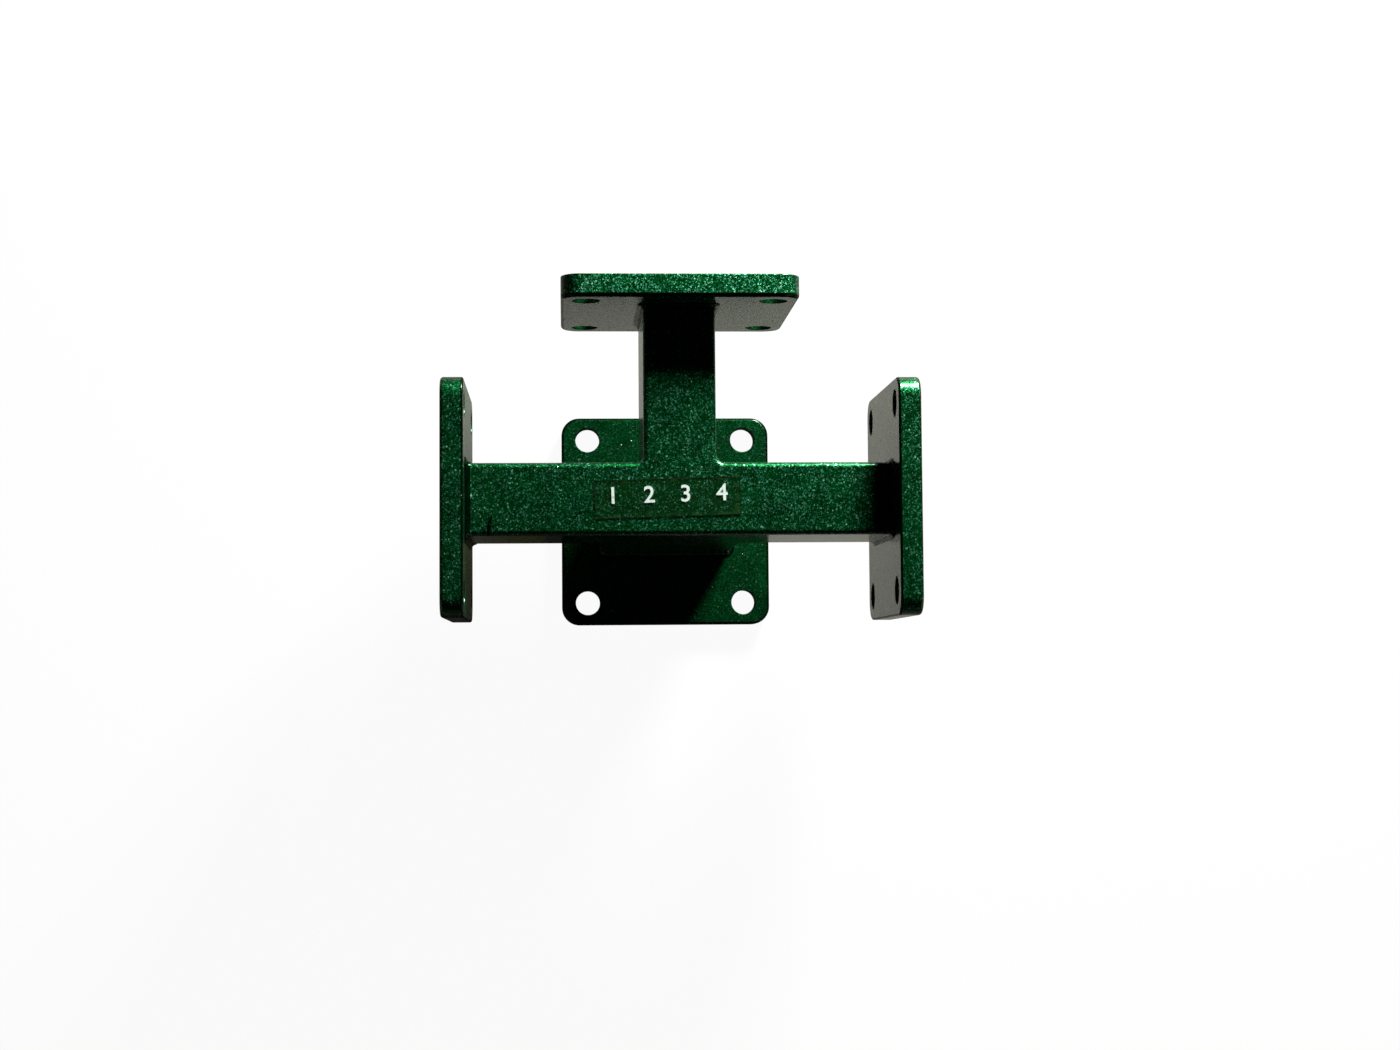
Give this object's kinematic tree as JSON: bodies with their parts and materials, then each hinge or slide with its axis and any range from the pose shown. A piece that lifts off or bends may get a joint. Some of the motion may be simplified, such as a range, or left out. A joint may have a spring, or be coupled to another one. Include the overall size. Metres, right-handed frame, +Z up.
{
  "type": "waveguide magic tee",
  "caption": "Rectangular waveguide hybrid junction: a straight through guide with an E-plane arm and an H-plane arm, every port ending in a square drilled flange.",
  "frame": {"origin": "centre of the base of the bounding box, in the plane of the H port's mating face that the tee stands on", "axes": "+X from port 1 to port 2, +Y out of the E port, +Z up, away from the H port's face"},
  "size_m": [0.0826, 0.0588, 0.0715],
  "materials": {
    "green_paint": "glossy dark green metallic enamel with fine bright flakes, on brass",
    "brass": "bare machined brass",
    "label_film": "clear film with white numerals"
  },
  "bodies": {
    "root": {"through_guide": "green_paint", "e_arm": "green_paint", "h_arm": "green_paint", "port_1_flange": "green_paint", "port_2_flange": "green_paint", "e_port_flange": "green_paint", "h_port_flange": "green_paint", "port_1_flange_braze": "green_paint", "port_2_flange_braze": "green_paint", "e_port_flange_braze": "green_paint", "h_port_flange_braze": "green_paint", "e_root_braze_left": "green_paint", "e_root_braze_right": "green_paint", "h_root_braze_left": "green_paint", "h_root_braze_right": "green_paint", "matching_post": "brass", "matching_iris": "brass", "label": "label_film"}
  },
  "joints": []
}
